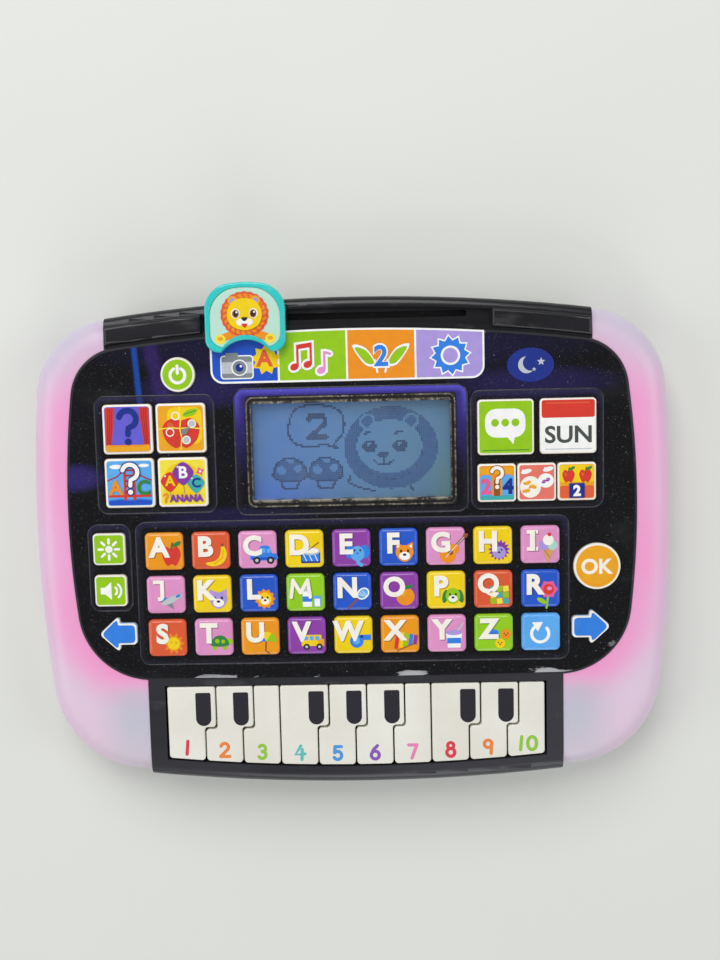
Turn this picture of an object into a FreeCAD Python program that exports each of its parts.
import FreeCAD, Part
import math
import os
import Sketcher
from FreeCAD import Placement, Rotation, Vector

# A toy tablet that lies on its back: X to the right, Y towards the slider, Z out of the face.
# Z is measured from the table under the rubber feet, and X = 0 is the middle of the case.

DIMENSIONS = {
    # case outline: four shallow bows joined by corner arcs
    "case_half_width": 132.0, "case_top": 98.0, "case_bottom": -104.3,
    "case_top_bow": 749.0, "case_side_bow": 600.0, "case_bottom_bow": 806.0,
    "case_side_middle": 5.0, "case_top_corner": 33.0, "case_bottom_corner": 40.0,
    # face outline, inside the bumpers and under the top rail
    "face_half_width": 116.2, "face_top": 85.5, "face_bottom": -58.8,
    "face_top_bow": 736.0, "face_side_bow": 380.0, "face_bottom_bow": 6000.0,
    "face_side_middle": 10.0, "face_top_corner": 21.0, "face_bottom_corner": 30.0,
    # levels and walls
    "back_level": 1.2, "base_thickness": 3.4, "parting_level": 14.0, "deck_top": 28.9,
    "deck_thickness": 2.2, "wall": 2.2, "film_thickness": 0.6, "cap_rise": 1.5,
    "base_inset": 5.0, "back_rounding": 1.6, "lip_rise": 1.4, "lip_inset": 0.6,
    "front_rounding": 5.0, "rail_rounding": 3.4, "rail_top": 28.4,
    # bumpers
    "bumper_bottom": 4.8, "bumper_top": 28.6, "bumper_rounding": 10.0, "bumper_wall": 2.2,
    "rail_half_length": 98.3, "block_half_width": 86.1, "joint_gap": 0.2,
    # keys and buttons
    "window_gap": 0.25, "flange_thickness": 1.2, "flange_gap": 0.2, "cap_edge": 0.7,
    "letter_width": 15.8, "letter_height": 15.5, "letter_corner": 2.0, "letter_flange": 0.8,
    "letter_pitch": 19.2, "row_pitch": 18.1, "letter_count": 9, "row_middle": -21.9,
    "key_travel": 0.8,
    # board and membrane
    "board_bottom": 20.4, "board_thickness": 1.6, "sheet_thickness": 0.9, "pip_height": 1.1,
    "pip_radius": 3.2,
    # piano
    "piano_pitch": 15.74, "piano_gap": 0.6, "piano_step": 4.8, "piano_step_line": -79.3,
    "piano_step_gap": 0.9, "piano_front_gap": 0.8, "piano_back_gap": 0.5,
    "piano_back": -61.5, "piano_front": -95.7, "piano_front_bow": 800.0, "piano_top": 29.2,
    "piano_underside": 19.0, "piano_skin": 2.2, "piano_edge": 0.6,
    "piano_corner": 1.5, "piano_heel": 0.8, "hinge_line": -54.0,
    "hinge_level": 22.0, "rod_radius": 1.0, "rod_clearance": 0.05, "rod_length": 168.0,
    # screen
    "screen_middle": 36.0, "screen_off_middle": 0.9, "bezel_width": 85.3, "bezel_height": 45.4,
    "glass_width": 80.6, "glass_height": 39.4,
    # slider
    "slider_start": -40.1, "slider_half_width": 16.15, "slider_top": 104.3,
    "slider_bottom": 76.2, "slider_level": 29.9, "slider_thickness": 4.2, "slot_line": 90.3,
    "slider_travel": 80.2,
    # power
    "cell_radius": 7.1, "cell_length": 50.5, "bay_line": 39.0,
}

# name: centre across, centre up, width, height, corner, flange across, flange up
RECTANGLES = {
    "button_light": (-99.5, -2.5, 13.4, 13.2, 1.8, 0.8, 0.8),
    "button_volume": (-99.5, -19.8, 13.4, 13.2, 1.8, 0.8, 0.8),
    "button_game_question": (-89.7, 46.6, 20.3, 20.2, 1.6, 0.55, 0.55),
    "button_game_puzzle": (-67.9, 46.6, 20.3, 20.2, 1.6, 0.55, 0.55),
    "button_game_bridge": (-89.7, 24.6, 20.3, 20.2, 1.6, 0.55, 0.55),
    "button_game_balloons": (-67.9, 24.6, 20.3, 20.2, 1.6, 0.55, 0.55),
    "button_talk": (63.3, 44.2, 22.7, 22.4, 1.6, 0.8, 0.8),
    "button_calendar": (88.3, 44.2, 22.7, 22.4, 1.6, 0.8, 0.8),
    "button_number_count": (59.5, 21.7, 15.5, 15.5, 1.4, 0.0, 0.8),
    "button_number_share": (75.6, 21.7, 15.5, 15.5, 1.4, 0.0, 0.8),
    "button_number_apples": (91.7, 21.7, 15.5, 15.5, 1.4, 0.0, 0.8),
}
ROUNDS = {
    "button_power": (-68.4, 68.2, 7.0, 0.9),
    "button_ok": (99.8, -13.2, 9.55, 0.9),
}
# name: centre across, centre up, and the side that the head points to
ARROWS = {"button_arrow_left": (-97.4, -38.1, -1), "button_arrow_right": (97.5, -38.1, 1)}
ARROW_HALF_LENGTH = 8.0
ARROW_HALF_HEAD = 8.1
ARROW_HALF_SHAFT = 4.6
ARROW_NECK = 1.0
# corner radii at the tip, the two wings, the two inner corners and the tail
ARROW_TIP, ARROW_WING, ARROW_INNER, ARROW_TAIL = 1.8, 1.1, 0.6, 1.8
BLACK_KEY_AT = (1, 2, 4, 5, 6, 8, 9)
PIANO_KEYS = 10
SCREW_PLACES = [(107.5, 52), (109, 12), (95.2, -51.2), (81, -95), (60, 77.3)]
FOOT_PLACES = [(84, 72), (84, -80)]

doc = FreeCAD.newDocument("toy_tablet")
sheet = doc.addObject("Spreadsheet::Sheet", "dims")
for line, (alias, value) in enumerate(DIMENSIONS.items(), start=1):
    sheet.set(f"A{line}", alias)
    sheet.set(f"B{line}", str(value))
    sheet.setAlias(f"B{line}", alias)
doc.recompute()

pieces = []


def dim(alias):
    return float(sheet.get(alias))


# ---------- helpers for bodies, sketches and features ----------

def new_body(label):
    """Start one piece as a PartDesign body that may hold several solids."""
    body = doc.addObject("PartDesign::Body", label)
    body.Label = label
    body.AllowCompound = True
    pieces.append(body)
    return body


def plane_of(body, role):
    return [item for item in body.Origin.OriginFeatures if item.Role == role][0]


def new_sketch(body, name, height="0", role="XY_Plane"):
    """Attach a sketch to an origin plane of its body, lifted by a sheet expression."""
    sketch = body.newObject("Sketcher::SketchObject", name)
    sketch.AttachmentSupport = [(plane_of(body, role), "")]
    sketch.MapMode = "FlatFace"
    sketch.setExpression("AttachmentOffset.Base.z", height)
    return sketch


def draw(sketch, curves):
    """Add one closed run of curves; their ends already meet."""
    sketch.addGeometry(curves, False)


def pad(body, sketch, length, name):
    feature = body.newObject("PartDesign::Pad", name)
    feature.Profile = sketch
    feature.setExpression("Length", length)
    doc.recompute()
    return feature


def pocket(body, sketch, depth, name, upwards=False):
    """Cut from the sketch towards -Z, or upwards, and check that it cut."""
    before = body.Shape.Volume
    feature = body.newObject("PartDesign::Pocket", name)
    feature.Profile = sketch
    feature.Reversed = upwards
    feature.setExpression("Length", depth)
    doc.recompute()
    if body.Shape.Volume > before - 1e-3:
        raise RuntimeError(f"{body.Label}: {name} cut nothing")
    return feature


def level_edges(feature, level):
    """Names of the edges that lie wholly at one height."""
    names = []
    for index, edge in enumerate(feature.Shape.Edges, start=1):
        box = edge.BoundBox
        if abs(box.ZMin - level) < 1e-4 and abs(box.ZMax - level) < 1e-4:
            names.append(f"Edge{index}")
    return names


def fillet(body, feature, edges, radius, name):
    rounding = body.newObject("PartDesign::Fillet", name)
    rounding.Base = (feature, edges)
    rounding.setExpression("Radius", radius)
    doc.recompute()
    return rounding


# ---------- outlines ----------

def turn_centre(circle_a, circle_b, radius, quadrant):
    """Centre of the corner arc that touches two bows from inside."""
    (ax, ay, ar), (bx, by, br) = circle_a, circle_b
    da, db = ar - radius, br - radius
    gap = math.hypot(bx - ax, by - ay)
    along = (da * da - db * db + gap * gap) / (2 * gap)
    across = math.sqrt(da * da - along * along)
    ux, uy = (bx - ax) / gap, (by - ay) / gap
    choices = [(ax + along * ux - s * across * uy, ay + along * uy + s * across * ux)
               for s in (1, -1)]
    return max(choices, key=lambda p: p[0] * quadrant[0] + p[1] * quadrant[1])


def bowed(prefix):
    """Bows and corner arcs of one outline: (centre x, centre y, radius), anticlockwise."""
    side = dim(prefix + "_half_width") - dim(prefix + "_side_bow")
    middle = dim(prefix + "_side_middle")
    right = (side, middle, dim(prefix + "_side_bow"))
    left = (-side, middle, dim(prefix + "_side_bow"))
    top = (0, dim(prefix + "_top") - dim(prefix + "_top_bow"), dim(prefix + "_top_bow"))
    bottom = (0, dim(prefix + "_bottom") + dim(prefix + "_bottom_bow"),
              dim(prefix + "_bottom_bow"))
    high, low = dim(prefix + "_top_corner"), dim(prefix + "_bottom_corner")
    corners = []
    for a, b, radius, quadrant in ((right, top, high, (1, 1)), (top, left, high, (-1, 1)),
                                   (left, bottom, low, (-1, -1)),
                                   (bottom, right, low, (1, -1))):
        corners.append(turn_centre(a, b, radius, quadrant) + (radius,))
    return [right, corners[0], top, corners[1], left, corners[2], bottom, corners[3]]


def touch(bow, corner, inset):
    """Point where a corner arc leaves a bow, on the outline moved in by inset."""
    dx, dy = corner[0] - bow[0], corner[1] - bow[1]
    size = math.hypot(dx, dy)
    reach = bow[2] - inset
    return Vector(bow[0] + dx / size * reach, bow[1] + dy / size * reach, 0)


def arc(circle, inset, start, end):
    """Arc of a circle moved in by inset, between two of its points, the short way."""
    centre = Vector(circle[0], circle[1], 0)
    middle = (start + end) * 0.5 - centre
    middle.normalize()
    return Part.Arc(start, centre + middle * (circle[2] - inset), end)


def outline(prefix, inset):
    """The whole closed outline as eight arcs."""
    arcs = bowed(prefix)
    curves = []
    for index, circle in enumerate(arcs):
        before, after = arcs[index - 1], arcs[(index + 1) % 8]
        if index % 2 == 0:
            start, end = touch(circle, before, inset), touch(circle, after, inset)
        else:
            start, end = touch(before, circle, inset), touch(after, circle, inset)
        curves.append(arc(circle, inset, start, end))
    return curves


def on_circle(circle, inset, x, upper):
    """Point of a circle at one x, on its upper or lower side."""
    reach = circle[2] - inset
    rise = math.sqrt(reach * reach - (x - circle[0]) ** 2)
    return Vector(x, circle[1] + (rise if upper else -rise), 0)


def lines(points):
    return [Part.LineSegment(points[i], points[i + 1]) for i in range(len(points) - 1)]


def closed_lines(points):
    return lines(points + points[:1])


def rounded_rectangle(cx, cy, width, height, radius):
    """Straight sides and quarter-circle corners, anticlockwise."""
    right, top = width / 2, height / 2
    curves = []
    slant = radius * (1 - math.sqrt(0.5))
    for sx, sy in ((1, 1), (-1, 1), (-1, -1), (1, -1)):
        on_side = Vector(cx + sx * right, cy + sy * (top - radius), 0)
        on_end = Vector(cx + sx * (right - radius), cy + sy * top, 0)
        mid = Vector(cx + sx * (right - slant), cy + sy * (top - slant), 0)
        first, last = (on_side, on_end) if sx * sy > 0 else (on_end, on_side)
        curves.append(Part.Arc(first, mid, last))
    joined = []
    for index, corner in enumerate(curves):
        after = curves[(index + 1) % 4]
        joined += [corner, Part.LineSegment(corner.EndPoint, after.StartPoint)]
    return joined


def ring_circle(cx, cy, radius):
    return [Part.Circle(Vector(cx, cy, 0), Vector(0, 0, 1), radius)]


def rounded_polygon(corners):
    """Closed outline through (point, radius) corners, with a tangent arc at each."""
    count = len(corners)
    bends = []
    for index, (corner, radius) in enumerate(corners):
        back = corners[index - 1][0] - corner
        ahead = corners[(index + 1) % count][0] - corner
        back.normalize()
        ahead.normalize()
        half_angle = back.getAngle(ahead) / 2
        reach = radius / math.tan(half_angle)
        bisector = back + ahead
        bisector.normalize()
        middle = corner + bisector * (radius / math.sin(half_angle) - radius)
        bends.append((corner + back * reach, middle, corner + ahead * reach))
    curves = []
    for index, (start, middle, end) in enumerate(bends):
        curves.append(Part.LineSegment(bends[index - 1][2], start))
        curves.append(Part.Arc(start, middle, end))
    return curves


def arrow_outline(cx, cy, side, grow):
    """Arrow with its head towards side, grown outwards by grow."""
    tip, head, shaft = ARROW_HALF_LENGTH, ARROW_HALF_HEAD, ARROW_HALF_SHAFT
    lean = math.hypot(tip + ARROW_NECK, head) / head
    slope = grow * (lean + (tip + ARROW_NECK) / head)
    neck = -side * ARROW_NECK
    wing_x, wing_y = neck - side * grow, head + slope * 0.62
    tail_x, low = -side * (tip + grow), -shaft - grow
    corners = [
        (side * (tip + grow * lean), 0, ARROW_TIP), (wing_x, wing_y, ARROW_WING),
        (wing_x, -low, ARROW_INNER), (tail_x, -low, ARROW_TAIL), (tail_x, low, ARROW_TAIL),
        (wing_x, low, ARROW_INNER), (wing_x, -wing_y, ARROW_WING),
    ]
    return rounded_polygon([(Vector(cx + x, cy + y, 0), radius) for x, y, radius in corners])


# ---------- the core: the face outline and the piano block below it ----------

def block_outline(inset, back):
    """The piano block: straight sides and the bottom bow of the case."""
    half = dim("block_half_width") - inset
    bow = bowed("case")[6]
    low_left = on_circle(bow, inset, -half, False)
    low_right = on_circle(bow, inset, half, False)
    return [arc(bow, inset, low_left, low_right)] + lines(
        [low_right, Vector(half, back, 0), Vector(-half, back, 0), low_left])


def add_core(body, height, length):
    face = new_sketch(body, "face_outline", height)
    draw(face, outline("face", 0))
    pad(body, face, length, "face_pad")
    block = new_sketch(body, "block_outline", height)
    draw(block, block_outline(0, dim("face_bottom") + 1))
    return pad(body, block, length, "block_pad")


def hollow_core(body, height, depth, upwards, back):
    face = new_sketch(body, "face_hollow", height)
    draw(face, outline("face", dim("wall")))
    pocket(body, face, depth, "face_pocket", upwards)
    block = new_sketch(body, "block_hollow", height)
    draw(block, block_outline(dim("wall"), back))
    pocket(body, block, depth, "block_pocket", upwards)


def mirrored_places(places):
    return [(side * x, y) for x, y in places for side in (1, -1)]


# ---------- openings for the keys ----------

def letter_centres():
    half = (dim("letter_count") - 1) / 2
    for row in (1, 0, -1):
        for column in range(int(dim("letter_count"))):
            yield ((column - half) * dim("letter_pitch"),
                   dim("row_middle") + row * dim("row_pitch"))


def windows(sketch):
    """One opening for each key, button and the screen, a little larger than each."""
    gap = dim("window_gap")
    for cx, cy in letter_centres():
        draw(sketch, rounded_rectangle(cx, cy, dim("letter_width") + 2 * gap,
                                            dim("letter_height") + 2 * gap,
                                            dim("letter_corner") + gap))
    numbers = [name for name in RECTANGLES if "number" in name]
    for name, (cx, cy, width, height, corner, _, _) in RECTANGLES.items():
        if name not in numbers:
            draw(sketch, rounded_rectangle(cx, cy, width + 2 * gap, height + 2 * gap,
                                                corner + gap))
    first, last = RECTANGLES[numbers[0]], RECTANGLES[numbers[-1]]
    draw(sketch, rounded_rectangle((first[0] + last[0]) / 2, first[1],
                                        last[0] - first[0] + first[2] + 2 * gap,
                                        first[3] + 2 * gap, first[4] + gap))
    for cx, cy, radius, _ in ROUNDS.values():
        draw(sketch, ring_circle(cx, cy, radius + gap))
    for cx, cy, side in ARROWS.values():
        draw(sketch, arrow_outline(cx, cy, side, gap))
    draw(sketch, rounded_rectangle(dim("screen_off_middle"), dim("screen_middle"),
                                        dim("bezel_width") + 0.2, dim("bezel_height") + 0.2, 1.6))


# ---------- case ----------

def make_front_case():
    body = new_body("front_case")
    core = add_core(body, "dims.parting_level", "dims.deck_top - dims.parting_level")
    front = [name for name in level_edges(core, dim("deck_top"))
             if core.Shape.getElement(name).BoundBox.YMax < dim("piano_front")]
    fillet(body, core, front, "dims.front_rounding", "front_rounding")
    hollow_core(body, "dims.parting_level",
                "dims.deck_top - dims.deck_thickness - dims.parting_level", True,
                dim("hinge_line") + 6)
    rod_ends = new_sketch(body, "rod_bearings", "dims.hinge_level - 4")
    for side in (1, -1):
        draw(rod_ends, rounded_rectangle(side * 81.4, dim("hinge_line"), 4.6, 7, 0.5))
    pad(body, rod_ends, "dims.deck_top - dims.deck_thickness - dims.hinge_level + 4.2",
        "rod_bearing_pads")
    posts = new_sketch(body, "screw_posts", "dims.parting_level")
    for cx, cy in mirrored_places(SCREW_PLACES):
        draw(posts, ring_circle(cx, cy, 3.2))
    pad(body, posts, "dims.deck_top - dims.deck_thickness - dims.parting_level + 0.2",
        "screw_post_pads")
    pilots = new_sketch(body, "screw_pilots", "dims.parting_level")
    for cx, cy in mirrored_places(SCREW_PLACES):
        draw(pilots, ring_circle(cx, cy, 1.3))
    pocket(body, pilots, "9", "screw_pilot_holes", True)
    keys = new_sketch(body, "key_windows", "dims.deck_top")
    windows(keys)
    pocket(body, keys, "dims.deck_thickness + 0.1", "key_window_cuts")
    well = new_sketch(body, "piano_opening", "dims.deck_top")
    half = PIANO_KEYS / 2 * dim("piano_pitch") + dim("piano_gap")
    reach = -dim("piano_front_gap")
    bow = (0, dim("piano_front") + dim("piano_front_bow"), dim("piano_front_bow"))
    low_left, low_right = on_circle(bow, reach, -half, False), on_circle(bow, reach, half, False)
    back = dim("piano_back") + dim("piano_back_gap")
    draw(well, [arc(bow, reach, low_left, low_right)] + lines(
        [low_right, Vector(half, back, 0), Vector(-half, back, 0), low_left]))
    pocket(body, well, "dims.deck_thickness + 0.1", "piano_opening_cut")
    bore = new_sketch(body, "rod_bores", "0", "YZ_Plane")
    draw(bore, ring_circle(dim("hinge_line"), dim("hinge_level"), dim("rod_radius") + 0.02))
    cut = body.newObject("PartDesign::Pocket", "rod_bore_cut")
    cut.Profile = bore
    cut.Midplane = True
    cut.setExpression("Length", "dims.rod_length + 0.4")
    doc.recompute()
    return body


def make_rear_case():
    body = new_body("rear_case")
    base = new_sketch(body, "base_outline", "dims.back_level")
    draw(base, outline("case", dim("base_inset")))
    plate = pad(body, base, "dims.base_thickness", "base_pad")
    fillet(body, plate, level_edges(plate, dim("back_level")), "dims.back_rounding",
           "back_rounding")
    lips = (("block_floor", block_outline(dim("lip_inset"), dim("face_bottom"))),
            ("rail_floor", rail_outline(dim("rail_half_length"), 4, dim("lip_inset"))))
    for name, curves in lips:
        lip = new_sketch(body, name, "dims.back_level + dims.lip_rise")
        draw(lip, curves)
        pad(body, lip, "dims.base_thickness - dims.lip_rise", name + "_pad")
    add_core(body, "dims.back_level + dims.base_thickness",
             "dims.parting_level - dims.back_level - dims.base_thickness - 0.05")
    hollow_core(body, "dims.parting_level - 0.05",
                "dims.parting_level - dims.back_level - dims.base_thickness - 0.05", False,
                dim("face_bottom") - 0.5)
    bay = new_sketch(body, "battery_bay", "dims.back_level + dims.base_thickness - 0.2")
    draw(bay, rounded_rectangle(0, dim("bay_line"), 61, 33.6, 2))
    pad(body, bay, "15.4", "battery_bay_pad")
    posts = new_sketch(body, "screw_posts", "dims.back_level + dims.base_thickness - 0.2")
    for cx, cy in mirrored_places(SCREW_PLACES):
        draw(posts, ring_circle(cx, cy, 3.2))
    pad(body, posts, "dims.parting_level - dims.back_level - dims.base_thickness + 0.15",
        "screw_post_pads")
    rests = new_sketch(body, "board_rests", "dims.back_level + dims.base_thickness - 0.2")
    for cx, cy in mirrored_places([(90, 64), (97, -38), (40, -36)]):
        draw(rests, ring_circle(cx, cy, 2.6))
    pad(body, rests, "dims.board_bottom - dims.back_level - dims.base_thickness + 0.15",
        "board_rest_pads")
    hollow = new_sketch(body, "battery_hollow", "dims.back_level")
    draw(hollow, rounded_rectangle(0, dim("bay_line"), 57.6, 30.2, 1.2))
    pocket(body, hollow, "17.2", "battery_hollow_cut", True)
    door = new_sketch(body, "door_recess", "dims.back_level")
    draw(door, rounded_rectangle(0, dim("bay_line"), 68.6, 38.6, 3.2))
    pocket(body, door, "2.2", "door_recess_cut", True)
    holes = new_sketch(body, "screw_holes", "dims.back_level")
    for cx, cy in mirrored_places(SCREW_PLACES):
        draw(holes, ring_circle(cx, cy, 1.7))
    pocket(body, holes, "dims.parting_level", "screw_hole_cuts", True)
    heads = new_sketch(body, "screw_heads", "dims.back_level")
    for cx, cy in mirrored_places(SCREW_PLACES):
        draw(heads, ring_circle(cx, cy, 3.0))
    pocket(body, heads, "4", "screw_head_cuts", True)
    grille = new_sketch(body, "speaker_grille", "dims.back_level")
    for ring, count in ((0, 1), (4.4, 6), (8.8, 12), (13.2, 18)):
        for index in range(count):
            angle = 2 * math.pi * index / count
            draw(grille, ring_circle(70 + ring * math.cos(angle),
                                          42 + ring * math.sin(angle), 1.1))
    pocket(body, grille, "dims.base_thickness + 0.1", "speaker_grille_cut", True)
    feet = new_sketch(body, "foot_recesses", "dims.back_level")
    for cx, cy in mirrored_places(FOOT_PLACES):
        draw(feet, ring_circle(cx, cy, 6.2))
    pocket(body, feet, "0.8", "foot_recess_cuts", True)
    door_screw = new_sketch(body, "door_screw_hole", "dims.back_level + 2")
    draw(door_screw, ring_circle(31.6, dim("bay_line"), 1.0))
    pocket(body, door_screw, "1.6", "door_screw_cut", True)
    return body


def make_face_overlay():
    body = new_body("face_overlay")
    film = new_sketch(body, "film_outline", "dims.deck_top")
    draw(film, outline("face", 1.0))
    pad(body, film, "dims.film_thickness", "film_pad")
    keys = new_sketch(body, "key_windows", "dims.deck_top + dims.film_thickness")
    windows(keys)
    pocket(body, keys, "dims.film_thickness + 0.1", "key_window_cuts")
    return body


def rail_outline(end, low_inset, high_inset):
    """The curved bar between the top bow of the face and the top bow of the case."""
    low, high = bowed("face")[2], bowed("case")[2]
    points = [on_circle(low, low_inset, end, True), on_circle(high, high_inset, end, True),
              on_circle(high, high_inset, -end, True), on_circle(low, low_inset, -end, True)]
    return [Part.LineSegment(points[0], points[1]),
            arc(high, high_inset, points[1], points[2]),
            Part.LineSegment(points[2], points[3]), arc(low, low_inset, points[3], points[0])]


def make_top_rail():
    body = new_body("top_rail")
    bar = new_sketch(body, "bar_outline", "dims.back_level + dims.base_thickness + 0.1")
    draw(bar, rail_outline(dim("rail_half_length"), -0.15, 0))
    solid = pad(body, bar, "dims.rail_top - dims.back_level - dims.base_thickness - 0.1",
                "bar_pad")
    crest = [name for name in level_edges(solid, dim("rail_top"))
             if solid.Shape.getElement(name).BoundBox.YMax > dim("case_top") - 0.5]
    fillet(body, solid, crest, "dims.rail_rounding", "crest_rounding")
    ends = new_sketch(body, "end_blocks", "28.2")
    for side in (1, -1):
        low, high = bowed("face")[2], bowed("case")[2]
        inner, outer = side * 58.2, side * dim("rail_half_length")
        a, b = on_circle(low, -1.2, inner, True), on_circle(high, 3.6, inner, True)
        c, d = on_circle(high, 3.6, outer, True), on_circle(low, -1.2, outer, True)
        draw(ends, [Part.LineSegment(a, b), arc(high, 3.6, b, c), Part.LineSegment(c, d),
                    arc(low, -1.2, d, a)])
    blocks = pad(body, ends, "2.0", "end_block_pads")
    fillet(body, blocks, level_edges(blocks, 30.2), "1.5", "end_block_rounding")
    hollow = new_sketch(body, "bar_hollow", "dims.back_level + dims.base_thickness + 0.1")
    draw(hollow, rail_outline(dim("rail_half_length") - 2.2, -2.15, 2.2))
    pocket(body, hollow, "24.4 - dims.back_level - dims.base_thickness - 0.1", "bar_hollow_cut",
           True)
    track = new_sketch(body, "track_recess", "30.3")
    draw(track, rail_outline(57.9, -1.9, 4.3))
    pocket(body, track, "30.3 - 26.2", "track_recess_cut")
    slot = new_sketch(body, "shoe_slot", "26.3")
    draw(slot, rounded_rectangle(0, dim("slot_line"), 97.0, 2.6, 1.29))
    pocket(body, slot, "2", "shoe_slot_cut")
    return body


def make_bumper(label, side):
    """A translucent shell round one end: outer skin, open towards the case."""
    outer = doc.addObject("PartDesign::Body", label + "_outside")
    outer.AllowCompound = True
    profile = new_sketch(outer, "bumper_outline", "dims.bumper_bottom")
    draw(profile, outline("case", 0))
    solid = pad(outer, profile, "dims.bumper_top - dims.bumper_bottom", "bumper_pad")
    rims = level_edges(solid, dim("bumper_top")) + level_edges(solid, dim("bumper_bottom"))
    fillet(outer, solid, rims, "dims.bumper_rounding", "bumper_rounding")

    inner = doc.addObject("PartDesign::Body", label + "_inside")
    hollow = new_sketch(inner, "hollow_outline", "dims.bumper_bottom + dims.bumper_wall")
    draw(hollow, outline("case", dim("bumper_wall")))
    core = pad(inner, hollow, "dims.bumper_top - dims.bumper_bottom - 2 * dims.bumper_wall",
               "hollow_pad")
    rims = level_edges(core, dim("bumper_top") - dim("bumper_wall"))
    rims += level_edges(core, dim("bumper_bottom") + dim("bumper_wall"))
    fillet(inner, core, rims, "dims.bumper_rounding - dims.bumper_wall", "hollow_rounding")

    skin = doc.addObject("Part::Cut", label + "_skin")
    skin.Base, skin.Tool = outer, inner

    keep_out = doc.addObject("PartDesign::Body", label + "_keep_out")
    gap = dim("joint_gap")
    arcs = bowed("face")
    corner_top, side_bow, corner_low = arcs[3], arcs[4], arcs[5]
    top_x = -dim("rail_half_length") - gap
    low_x = -dim("block_half_width") - gap
    p1 = on_circle(corner_top, -gap, top_x, True)
    p2, p3 = touch(side_bow, corner_top, -gap), touch(side_bow, corner_low, -gap)
    p4 = on_circle(corner_low, -gap, low_x, False)
    far = 200
    curves = [Part.LineSegment(Vector(top_x, far, 0), p1), arc(corner_top, -gap, p1, p2),
              arc(side_bow, -gap, p2, p3), arc(corner_low, -gap, p3, p4)]
    curves += lines([p4, Vector(low_x, -far, 0), Vector(far, -far, 0), Vector(far, far, 0),
                     Vector(top_x, far, 0)])
    if side > 0:
        flip = FreeCAD.Matrix()
        flip.A11 = -1
        for curve in curves:
            curve.transform(flip)
    region = new_sketch(keep_out, "keep_out_outline", "0")
    draw(region, curves)
    pad(keep_out, region, "dims.bumper_top + 5", "keep_out_pad")

    bumper = doc.addObject("Part::Cut", label)
    bumper.Label = label
    bumper.Base, bumper.Tool = skin, keep_out
    doc.recompute()
    pieces.append(bumper)
    return bumper


# ---------- keys and buttons ----------

def bound_rectangle(sketch, width, height):
    """A rectangle about the sketch's origin whose sides follow two expressions."""
    corners = [Vector(-5, -5, 0), Vector(5, -5, 0), Vector(5, 5, 0), Vector(-5, 5, 0)]
    sketch.addGeometry(closed_lines(corners), False)
    for index in range(4):
        sketch.addConstraint(Sketcher.Constraint("Coincident", index, 2, (index + 1) % 4, 1))
    for index, kind in enumerate(("Horizontal", "Vertical", "Horizontal", "Vertical")):
        sketch.addConstraint(Sketcher.Constraint(kind, index))
    sketch.addConstraint(Sketcher.Constraint("Symmetric", 0, 1, 2, 1, -1, 1))
    across = sketch.addConstraint(Sketcher.Constraint("DistanceX", 0, 1, 0, 2, 10.0))
    up = sketch.addConstraint(Sketcher.Constraint("DistanceY", 1, 1, 1, 2, 10.0))
    sketch.setExpression(f"Constraints[{across}]", width)
    sketch.setExpression(f"Constraints[{up}]", height)


def upright_edges(feature):
    names = []
    for index, edge in enumerate(feature.Shape.Edges, start=1):
        box = edge.BoundBox
        if box.XLength < 1e-4 and box.YLength < 1e-4:
            names.append(f"Edge{index}")
    return names


CAP_HEIGHT = ("dims.deck_thickness + dims.film_thickness + dims.cap_rise"
              " + dims.flange_gap + dims.flange_thickness")
CAP_BASE = "dims.deck_top - dims.deck_thickness - dims.flange_gap - dims.flange_thickness"


def add_flange(body, curves):
    flange = new_sketch(body, "flange_outline", "0")
    draw(flange, curves)
    pad(body, flange, "dims.flange_thickness", "flange_pad")


def place_cap(body, cx, cy):
    """Put a cap that is drawn about its own origin into its window."""
    body.Placement = Placement(Vector(cx, cy, 0), Rotation())
    body.setExpression("Placement.Base.z", CAP_BASE)


def make_square_cap(label, width, height, corner, flange_x, flange_y):
    body = new_body(label)
    profile = new_sketch(body, "cap_outline", "0")
    bound_rectangle(profile, width, height)
    cap = pad(body, profile, CAP_HEIGHT, "cap_pad")
    rounded = fillet(body, cap, upright_edges(cap), str(corner), "cap_corners")
    top = cap.Shape.BoundBox.ZMax
    fillet(body, rounded, level_edges(rounded, top), "dims.cap_edge", "cap_edge_rounding")
    box = cap.Shape.BoundBox
    add_flange(body, rounded_rectangle(0, 0, box.XLength + 2 * flange_x,
                                       box.YLength + 2 * flange_y, corner))
    return body


def make_rectangular_buttons():
    for name, (cx, cy, width, height, corner, flange_x, flange_y) in RECTANGLES.items():
        body = make_square_cap(name, str(width), str(height), corner, flange_x, flange_y)
        place_cap(body, cx, cy)


def make_round_buttons():
    for name, (cx, cy, radius, flange) in ROUNDS.items():
        body = new_body(name)
        profile = new_sketch(body, "cap_outline", "0")
        draw(profile, ring_circle(0, 0, radius))
        cap = pad(body, profile, CAP_HEIGHT, "cap_pad")
        fillet(body, cap, level_edges(cap, cap.Shape.BoundBox.ZMax), "dims.cap_edge",
               "cap_edge_rounding")
        add_flange(body, ring_circle(0, 0, radius + flange))
        place_cap(body, cx, cy)


def make_arrow_buttons():
    for name, (cx, cy, side) in ARROWS.items():
        body = new_body(name)
        profile = new_sketch(body, "cap_outline", "0")
        draw(profile, arrow_outline(0, 0, side, 0))
        cap = pad(body, profile, CAP_HEIGHT, "cap_pad")
        fillet(body, cap, level_edges(cap, cap.Shape.BoundBox.ZMax), "dims.cap_edge",
               "cap_edge_rounding")
        add_flange(body, arrow_outline(0, 0, side, 0.7))
        place_cap(body, cx, cy)


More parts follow.
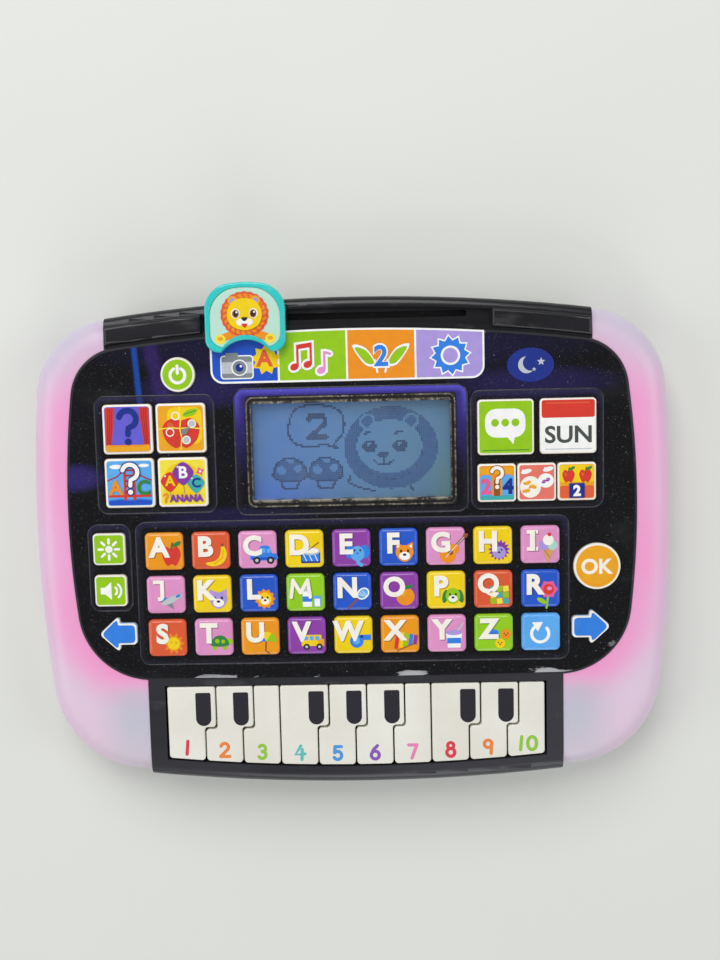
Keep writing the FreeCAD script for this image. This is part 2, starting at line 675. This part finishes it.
def make_letter_rows():
    """Nine equal caps on one strip of the membrane make a row."""
    for row in range(3):
        body = make_square_cap(f"letter_keys_row_{row + 1}", "dims.letter_width",
                               "dims.letter_height", dim("letter_corner"),
                               dim("letter_flange"), dim("letter_flange"))
        pattern = body.newObject("PartDesign::LinearPattern", "cap_pattern")
        pattern.TransformMode = "Whole shape"
        pattern.Direction = (plane_of(body, "X_Axis"), [""])
        pattern.Mode = "Spacing"
        pattern.setExpression("Offset", "dims.letter_pitch")
        pattern.setExpression("Occurrences", "dims.letter_count")
        body.Tip = pattern
        place_cap(body, 0, 0)
        body.setExpression("Placement.Base.x",
                           "-(dims.letter_count - 1) / 2 * dims.letter_pitch")
        body.setExpression("Placement.Base.y",
                           f"dims.row_middle + {1 - row} * dims.row_pitch")
        doc.recompute()


def piano_edges(number):
    """Left and right side of one key, first at its front and then beside the inlays."""
    def boundary(index, stepped):
        shift = dim("piano_step") if stepped and index in BLACK_KEY_AT else 0
        return (index - PIANO_KEYS / 2) * dim("piano_pitch") + shift
    half_gap = dim("piano_gap") / 2
    return [(boundary(number - 1, stepped) + half_gap, boundary(number, stepped) - half_gap)
            for stepped in (False, True)]


def make_piano_keys():
    bow = (0, dim("piano_front") + dim("piano_front_bow"), dim("piano_front_bow"))
    back = dim("piano_back")
    # a tilted key swings its upper edges forward, so the step faces stand well apart
    step_behind = dim("piano_step_line") + dim("piano_step_gap") / 2
    step_ahead = dim("piano_step_line") - dim("piano_step_gap") / 2
    for number in range(1, PIANO_KEYS + 1):
        (low_left, low_right), (up_left, up_right) = piano_edges(number)
        body = new_body(f"piano_key_{number}")
        profile = new_sketch(body, "key_outline", "dims.piano_underside")
        a, b = on_circle(bow, 0, low_left, False), on_circle(bow, 0, low_right, False)
        turn, heel = dim("piano_corner"), dim("piano_heel")
        corners = [(a, turn), (b, turn)]
        if up_right - low_right > 0.1:
            corners += [(Vector(low_right, step_behind, 0), turn),
                        (Vector(up_right, step_behind, 0), turn)]
        corners += [(Vector(up_right, back, 0), heel), (Vector(up_left, back, 0), heel)]
        if up_left - low_left > 0.1:
            corners += [(Vector(up_left, step_ahead, 0), turn),
                        (Vector(low_left, step_ahead, 0), turn)]
        draw(profile, rounded_polygon(corners))
        key = pad(body, profile, "dims.piano_top - dims.piano_underside", "key_pad")
        fillet(body, key, level_edges(key, dim("piano_top")), "dims.piano_edge",
               "key_edge_rounding")
        left, right = max(low_left, up_left) + 1.6, min(low_right, up_right) - 1.6
        hollow = new_sketch(body, "key_hollow", "dims.piano_underside")
        front = on_circle(bow, 2.2, (left + right) / 2, False).y
        draw(hollow, closed_lines([Vector(left, front, 0), Vector(right, front, 0),
                                        Vector(right, back - 2.2, 0),
                                        Vector(left, back - 2.2, 0)]))
        pocket(body, hollow, "dims.piano_top - dims.piano_underside - dims.piano_skin",
               "key_hollow_cut", True)
        middle = (up_left + up_right) / 2
        tongue = new_sketch(body, "tongue_outline", "dims.piano_underside")
        draw(tongue, rounded_rectangle(middle, (back + dim("hinge_line")) / 2, 8.0,
                                            dim("hinge_line") - back + 5.0, 0.8))
        pad(body, tongue, "5.6", "tongue_pad")
        eye = new_sketch(body, "eye_outline", "0", "YZ_Plane")
        draw(eye, ring_circle(dim("hinge_line"), dim("hinge_level"),
                                   dim("rod_radius") + dim("rod_clearance")))
        bore = body.newObject("PartDesign::Pocket", "eye_bore")
        bore.Profile = eye
        bore.Midplane = True
        bore.setExpression("Length", "2 * dims.rod_length")
        doc.recompute()


# ---------- slider ----------

def slider_outline(inset):
    """Domed top, straight sides, and two feet with an arch between them."""
    half = dim("slider_half_width") - inset
    top, bottom = dim("slider_top") - inset, dim("slider_bottom") + inset
    foot = 9.4 + inset * 0.3
    shoulder, dome = top - 12.2 + inset * 0.6, 5.0
    v = Vector
    return [
        Part.Arc(v(-half, bottom + 5.6, 0), v(-half + 1.9, bottom + 1.6, 0),
                 v(-half + 6.2 - inset * 0.6, bottom + 0.4, 0)),
        Part.Arc(v(-half + 6.2 - inset * 0.6, bottom + 0.4, 0), v(0, bottom + 5.2, 0),
                 v(half - 6.2 + inset * 0.6, bottom + 0.4, 0)),
        Part.Arc(v(half - 6.2 + inset * 0.6, bottom + 0.4, 0), v(half - 1.9, bottom + 1.6, 0),
                 v(half, bottom + 5.6, 0)),
        Part.LineSegment(v(half, bottom + 5.6, 0), v(half, shoulder, 0)),
        Part.Arc(v(half, shoulder, 0), v(half - 3.2, top - 3.6, 0), v(dome, top - 0.35, 0)),
        Part.Arc(v(dome, top - 0.35, 0), v(0, top, 0), v(-dome, top - 0.35, 0)),
        Part.Arc(v(-dome, top - 0.35, 0), v(-half + 3.2, top - 3.6, 0), v(-half, shoulder, 0)),
        Part.LineSegment(v(-half, shoulder, 0), v(-half, bottom + 5.6, 0)),
    ]


def place_slider_piece(body):
    body.setExpression("Placement.Base.x", "dims.slider_start")


def make_slider():
    frame = new_body("slider_frame")
    shape = new_sketch(frame, "frame_outline", "dims.slider_level")
    draw(shape, slider_outline(0))
    plate = pad(frame, shape, "dims.slider_thickness", "frame_pad")
    rim = level_edges(plate, dim("slider_level") + dim("slider_thickness"))
    fillet(frame, plate, rim, "0.9", "frame_rounding")
    recess = new_sketch(frame, "picture_recess", "dims.slider_level + dims.slider_thickness")
    draw(recess, slider_outline(2.0))
    pocket(frame, recess, "1.3", "picture_recess_cut")
    place_slider_piece(frame)

    picture = new_body("slider_picture")
    card = new_sketch(picture, "card_outline",
                      "dims.slider_level + dims.slider_thickness - 1.3")
    draw(card, slider_outline(2.1))
    pad(picture, card, "0.9", "card_pad")
    place_slider_piece(picture)

    shoe = new_body("slider_shoe")
    foot = new_sketch(shoe, "shoe_outline", "21.6")
    draw(foot, rounded_rectangle(0, dim("slot_line"), 16, 4.6, 1))
    pad(shoe, foot, "2.5", "shoe_pad")
    neck = new_sketch(shoe, "neck_outline", "24.1")
    draw(neck, rounded_rectangle(0, dim("slot_line"), 12, 2.0, 0.6))
    pad(shoe, neck, "dims.slider_level - 24.1", "neck_pad")
    place_slider_piece(shoe)


# ---------- screen ----------

def plate_piece(label, cx, cy, width, height, corner, level, thickness):
    """One flat plate with rounded corners, at a height given by an expression."""
    body = new_body(label)
    profile = new_sketch(body, "plate_outline", level)
    draw(profile, rounded_rectangle(cx, cy, width, height, corner))
    pad(body, profile, thickness, "plate_pad")
    return body


def make_screen():
    cx, cy = dim("screen_off_middle"), dim("screen_middle")
    bezel = plate_piece("lcd_bezel", cx, cy, dim("bezel_width"), dim("bezel_height"), 1.5,
                        "dims.deck_top - 4", "dims.film_thickness + 4.5")
    opening = new_sketch(bezel, "bezel_opening", "dims.deck_top + 0.5 + dims.film_thickness")
    draw(opening, rounded_rectangle(cx, cy, dim("glass_width"), dim("glass_height"), 0.8))
    pocket(bezel, opening, "8", "bezel_opening_cut")
    plate_piece("lcd_window", cx, cy, dim("glass_width") - 0.2, dim("glass_height") - 0.2, 0.7,
                "dims.deck_top - 1.5", "1.2")
    plate_piece("lcd_panel", cx, cy, 84, 44, 0.5, "dims.board_bottom + 3.3", "1.1")
    plate_piece("lcd_backlight", cx, cy + 2.6, 82, 38, 0.5, "dims.board_bottom + 1.7", "1.5")
    plate_piece("lcd_connector_strip", cx, cy - 19.4, 76, 3.0, 0.4,
                "dims.board_bottom + 1.65", "1.6")


# ---------- electronics ----------

def key_centres():
    yield from letter_centres()
    for data in list(RECTANGLES.values()) + list(ROUNDS.values()) + list(ARROWS.values()):
        yield data[0], data[1]


def add_board_areas(body, level, thickness, trim):
    """The main board is wide beside the letters and narrower above them."""
    for name, half, low, high in (("upper", 96, 10, 74), ("lower", 103.4, -46, 12)):
        area = new_sketch(body, name + "_area", level)
        draw(area, rounded_rectangle(0, (low + high) / 2, 2 * (half - trim),
                                          high - low - 2 * trim, 6))
        pad(body, area, thickness, name + "_pad")


def make_boards():
    board = new_body("main_board")
    add_board_areas(board, "dims.board_bottom", "dims.board_thickness", 0)
    sheet_level = "dims.board_bottom + dims.board_thickness + 0.05"
    membrane = new_body("keypad_membrane")
    add_board_areas(membrane, sheet_level, "dims.sheet_thickness", 0.6)
    opening = new_sketch(membrane, "screen_opening",
                         sheet_level + " + dims.sheet_thickness")
    draw(opening, rounded_rectangle(dim("screen_off_middle"), dim("screen_middle"),
                                         87, 47.5, 1))
    pocket(membrane, opening, "2", "screen_opening_cut")
    pips = new_sketch(membrane, "pips", sheet_level + " + dims.sheet_thickness - 0.1")
    for cx, cy in key_centres():
        draw(pips, ring_circle(cx, cy, dim("pip_radius")))
    pad(membrane, pips, "dims.pip_height + 0.1", "pip_pads")

    plate_piece("piano_contact_board", 0, -79, 150, 20, 1, "11.6", "1.6")
    domes = plate_piece("piano_domes", 0, -79, 148, 18, 1, "13.25", "0.8")
    buttons = new_sketch(domes, "dome_pads", "14")
    for number in range(1, PIANO_KEYS + 1):
        cx = (number - 0.5 - PIANO_KEYS / 2) * dim("piano_pitch")
        draw(buttons, ring_circle(cx, -79, 3))
    pad(domes, buttons, "1.6", "dome_pads_pad")

    plate_piece("slider_contact_board", 0, dim("slot_line"), 112, 4.4, 0.6, "18.5", "1.0")
    for side, label in ((-1, "led_board_left"), (1, "led_board_right")):
        strip = plate_piece(label, side * 118.0, 10, 1.2, 84, 0.3, "10", "12")
        lamps = new_sketch(strip, "lamps", "14")
        for index in range(4):
            draw(lamps, rounded_rectangle(side * 119.3, -20 + 20 * index, 1.8, 3.4, 0.3))
        pad(strip, lamps, "3.4", "lamp_pads")
    plate_piece("board_ribbon", 0, -49.5, 24, 3, 0.4, "16.8", "3.5")


def make_speaker():
    speaker = new_body("speaker")
    for name, radius, level, height in (("basket", 17.5, "4.7", "2.4"),
                                        ("cone", 13, "7", "3.2"), ("magnet", 9, "10", "4")):
        step = new_sketch(speaker, name + "_outline", level)
        draw(step, ring_circle(70, 42, radius))
        pad(speaker, step, height, name + "_pad")
    ring = new_body("speaker_ring")
    outer = new_sketch(ring, "ring_outline", "dims.back_level + dims.base_thickness + 0.05")
    draw(outer, ring_circle(70, 42, 20.5))
    draw(outer, ring_circle(70, 42, 17.8))
    pad(ring, outer, "3.4", "ring_pad")
    return ring


# ---------- power ----------

def make_power():
    door = plate_piece("battery_door", 0, dim("bay_line"), 68.0, 38.0, 3.0, "dims.back_level",
                       "2.0")
    hole = new_sketch(door, "screw_hole", "dims.back_level")
    draw(hole, ring_circle(31.6, dim("bay_line"), 1.4))
    pocket(door, hole, "3", "screw_hole_cut", True)
    sink = new_sketch(door, "screw_sink", "dims.back_level")
    draw(sink, ring_circle(31.6, dim("bay_line"), 2.6))
    pocket(door, sink, "1.1", "screw_sink_cut", True)
    grips = new_sketch(door, "finger_grips", "dims.back_level")
    for index in range(5):
        draw(grips, rounded_rectangle(-29 + 2.4 * index, dim("bay_line"), 1.1, 16, 0.5))
    pocket(door, grips, "0.6", "finger_grip_cuts", True)

    for index, side in enumerate((1, -1)):
        cell = doc.addObject("Part::Cylinder", f"cell_can_{index + 1}")
        cell.setExpression("Radius", "dims.cell_radius")
        cell.setExpression("Height", "dims.cell_length - 1.4")
        cell.Placement = Placement(Vector(-26.4, dim("bay_line") + side * 7.4, 10.9),
                                   Rotation(Vector(0, 1, 0), 90))
        nub = doc.addObject("Part::Cylinder", f"cell_nub_{index + 1}")
        nub.Radius = 2.7
        nub.Height = 1.8
        nub.Placement = Placement(Vector(-26.4 + dim("cell_length") - 1.8,
                                         dim("bay_line") + side * 7.4, 10.9),
                                  Rotation(Vector(0, 1, 0), 90))
    cells = doc.addObject("Part::MultiFuse", "cells")
    cells.Label = "cells"
    cells.Shapes = [doc.getObject(n) for n in ("cell_can_1", "cell_nub_1", "cell_can_2",
                                               "cell_nub_2")]
    pieces.append(cells)

    contacts = new_body("battery_contacts")
    plates = new_sketch(contacts, "contact_plates", "5.2")
    for cx in (-28.3, 27.9):
        draw(plates, rounded_rectangle(cx, dim("bay_line"), 0.5, 26, 0.1))
    pad(contacts, plates, "10", "contact_pads")


def turned_piece(label, places, steps):
    """Stacked discs at each place: (radius, lowest level, height), such as screws and feet."""
    body = new_body(label)
    for index, (radius, level, height) in enumerate(steps):
        disc = new_sketch(body, f"disc_{index + 1}", str(level))
        for cx, cy in places:
            draw(disc, ring_circle(cx, cy, radius))
        pad(body, disc, str(height), f"disc_pad_{index + 1}")
    return body


def make_fasteners():
    screws = turned_piece("case_screws", mirrored_places(SCREW_PLACES),
                          [(2.7, 3.1, 2.0), (1.28, 5.0, 16.0)])
    cross = new_sketch(screws, "driver_slots", "3.1")
    for cx, cy in mirrored_places(SCREW_PLACES):
        draw(cross, cross_outline(cx, cy, 1.5, 0.35))
    pocket(screws, cross, "1.0", "driver_slot_cuts", True)
    door_screw = turned_piece("battery_door_screw", [(31.6, dim("bay_line"))],
                              [(2.4, 1.25, 1.0), (0.95, 2.2, 2.2)])
    cross = new_sketch(door_screw, "driver_slot", "1.25")
    draw(cross, cross_outline(31.6, dim("bay_line"), 1.4, 0.3))
    pocket(door_screw, cross, "0.6", "driver_slot_cut", True)
    turned_piece("rubber_feet", mirrored_places(FOOT_PLACES), [(6.0, 0, 1.95)])
    rod = doc.addObject("Part::Cylinder", "piano_hinge_rod")
    rod.Label = "piano_hinge_rod"
    rod.setExpression("Radius", "dims.rod_radius")
    rod.setExpression("Height", "dims.rod_length")
    rod.Placement = Placement(Vector(-dim("rod_length") / 2, dim("hinge_line"),
                                     dim("hinge_level")), Rotation(Vector(0, 1, 0), 90))
    pieces.append(rod)


def cross_outline(cx, cy, reach, half):
    points = [(reach, -half), (reach, half), (half, half), (half, reach), (-half, reach),
              (-half, half), (-reach, half), (-reach, -half), (-half, -half), (-half, -reach),
              (half, -reach), (half, -half)]
    return closed_lines([Vector(cx + x, cy + y, 0) for x, y in points])


# ---------- build, check and write ----------

make_front_case()
make_rear_case()
make_face_overlay()
make_top_rail()
make_bumper("light_bumper_left", -1)
make_bumper("light_bumper_right", 1)
make_rectangular_buttons()
make_round_buttons()
make_arrow_buttons()
make_letter_rows()
make_piano_keys()
make_slider()
make_screen()
make_boards()
make_speaker()
make_power()
make_fasteners()
doc.recompute()

for item in doc.Objects:
    if "Invalid" in item.State or "Error" in item.State:
        raise RuntimeError(f"{item.Label} failed: {item.State}")
for piece in pieces:
    if piece.Shape.isNull() or not piece.Shape.isValid():
        raise RuntimeError(f"{piece.Label} has no valid shape")

os.makedirs("parts", exist_ok=True)
for piece in pieces:
    piece.Shape.exportStep(f"parts/{piece.Label}.step")
    box = piece.Shape.BoundBox
    print(f"{piece.Label:26s} solids {len(piece.Shape.Solids):3d} volume {piece.Shape.Volume:10.1f}"
          f"  x {box.XMin:7.1f}..{box.XMax:6.1f} y {box.YMin:7.1f}..{box.YMax:6.1f}"
          f" z {box.ZMin:5.1f}..{box.ZMax:5.1f}")
print(len(pieces), "pieces")
